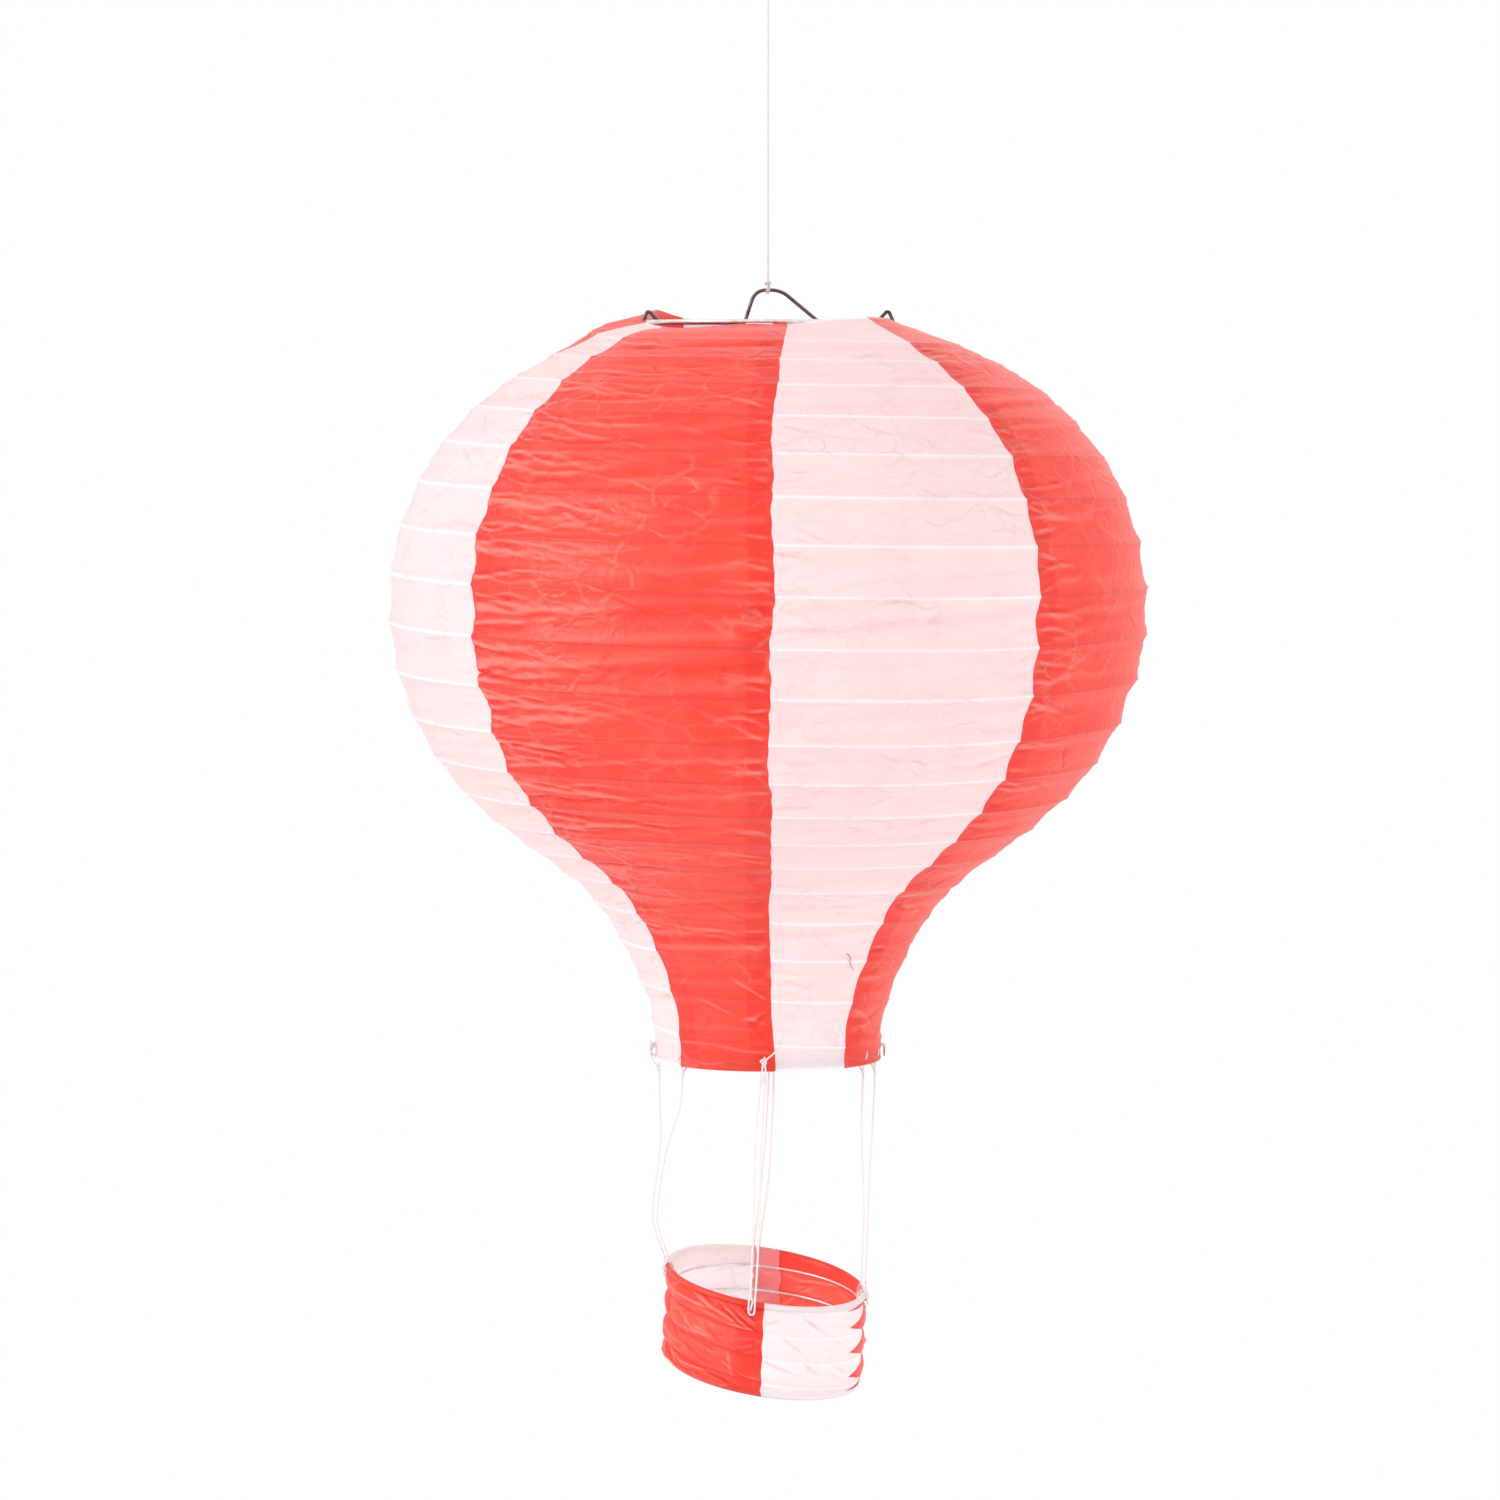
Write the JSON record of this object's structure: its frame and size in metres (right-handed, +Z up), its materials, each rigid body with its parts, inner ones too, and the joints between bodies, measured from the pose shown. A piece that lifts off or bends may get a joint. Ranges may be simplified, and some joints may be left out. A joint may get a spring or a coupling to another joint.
{
  "type": "hot air balloon paper lantern",
  "caption": "Balloon-shaped folding paper lantern with red and white gores on a spiral wire, a wire expander with a hanging hump, a string, and a small paper basket on cords.",
  "frame": {"origin": "centre of the ceiling hook's flange, on its ceiling face", "axes": "+Z up, -Y towards the front, +X to the right seen from the front"},
  "size_m": [0.3002, 0.3, 0.6207],
  "materials": {
    "white_paper": "crinkled translucent tissue paper",
    "red_paper": "crinkled translucent tissue paper",
    "expander_wire": "drawn steel wire",
    "ring_wire": "thin galvanised wire",
    "hook_metal": "plated",
    "string_thread": "smooth white string",
    "cord_thread": "twisted white cotton"
  },
  "bodies": {
    "hook": {"ceiling_hook": "hook_metal"},
    "string": {"string_loop": "string_thread", "hanging_string": "string_thread"},
    "string_end": {"lower_loop": "string_thread"},
    "lantern": {"expander": "expander_wire", "top_ring": "ring_wire", "neck_ring": "ring_wire", "rib_spiral": "ring_wire", "envelope_white_1": "white_paper", "envelope_red_1": "red_paper", "envelope_white_2": "white_paper", "envelope_red_2": "red_paper", "envelope_white_3": "white_paper", "envelope_red_3": "red_paper", "envelope_white_4": "white_paper", "envelope_red_4": "red_paper"},
    "cord_front": {"tie_front": "cord_thread", "cord_front_a": "cord_thread", "cord_front_b": "cord_thread"},
    "cord_back": {"tie_back": "cord_thread", "cord_back_a": "cord_thread", "cord_back_b": "cord_thread"},
    "cord_left_a": {"tie_left_a": "cord_thread", "cord_left_a": "cord_thread"},
    "cord_left_b": {"tie_left_b": "cord_thread", "cord_left_b": "cord_thread"},
    "cord_right_a": {"tie_right_a": "cord_thread", "cord_right_a": "cord_thread"},
    "cord_right_b": {"tie_right_b": "cord_thread", "cord_right_b": "cord_thread"},
    "basket": {"basket_rim": "ring_wire", "basket_spiral": "ring_wire", "basket_back_red": "red_paper", "basket_back_white": "white_paper", "basket_front_red": "red_paper", "basket_front_white": "white_paper", "eye_left": "cord_thread", "eye_front": "cord_thread", "eye_right": "cord_thread", "eye_back": "cord_thread"},
    "basket_base": {"basket_base_ring": "ring_wire"}
  },
  "joints": [
    {"name": "string_swing", "type": "hinge", "parent": "hook", "child": "string", "pos_m": [0, 0, -0.0202], "axis": [0, 1, 0], "range_deg": [-25, 25]},
    {"name": "lantern_spin", "type": "hinge", "parent": "string", "child": "string_end", "pos_m": [0, 0, -0.168], "axis": [0, 0, 1], "continuous": true},
    {"name": "lantern_tilt", "type": "hinge", "parent": "string_end", "child": "lantern", "pos_m": [0, 0, -0.1707], "axis": [1, 0, 0], "range_deg": [-20, 20]},
    {"name": "basket_sway", "type": "hinge", "parent": "lantern", "child": "cord_front", "pos_m": [-0.00159, -0.04337, -0.4709], "axis": [0, 1, 0], "range_deg": [-10, 10]},
    {"name": "basket_level", "type": "hinge", "parent": "cord_front", "child": "basket", "pos_m": [-0.00628, -0.03852, -0.56724], "axis": [0, 1, 0], "range_deg": [-12, 12]},
    {"name": "cord_back_sway", "type": "hinge", "parent": "lantern", "child": "cord_back", "pos_m": [0.00189, 0.04336, -0.4709], "axis": [0, 1, 0], "range_deg": [-12, 12]},
    {"name": "cord_left_a_sway", "type": "hinge", "parent": "lantern", "child": "cord_left_a", "pos_m": [-0.04298, -0.00604, -0.4709], "axis": [0, 1, 0], "range_deg": [-12, 12]},
    {"name": "cord_left_b_sway", "type": "hinge", "parent": "lantern", "child": "cord_left_b", "pos_m": [-0.03373, -0.02731, -0.4709], "axis": [0, 1, 0], "range_deg": [-12, 12]},
    {"name": "cord_right_a_sway", "type": "hinge", "parent": "lantern", "child": "cord_right_a", "pos_m": [0.04229, -0.00976, -0.4709], "axis": [0, 1, 0], "range_deg": [-12, 12]},
    {"name": "cord_right_b_sway", "type": "hinge", "parent": "lantern", "child": "cord_right_b", "pos_m": [0.03759, -0.0217, -0.4709], "axis": [0, 1, 0], "range_deg": [-12, 12]},
    {"name": "basket_fold", "type": "slide", "parent": "basket", "child": "basket_base", "axis": [0.1513, -0.129, 0.98], "range_m": [0, 0.026], "deforming": ["basket_spiral", "basket_back_red", "basket_back_white", "basket_front_red", "basket_front_white"]}
  ],
  "couplings": [
    {"joint": "basket_level", "follows": "basket_sway", "ratio": -1.1067},
    {"joint": "cord_back_sway", "follows": "basket_sway", "ratio": 1.114},
    {"joint": "cord_left_a_sway", "follows": "basket_sway", "ratio": 1.1127},
    {"joint": "cord_left_b_sway", "follows": "basket_sway", "ratio": 1.1127},
    {"joint": "cord_right_a_sway", "follows": "basket_sway", "ratio": 0.9799},
    {"joint": "cord_right_b_sway", "follows": "basket_sway", "ratio": 0.9799}
  ]
}
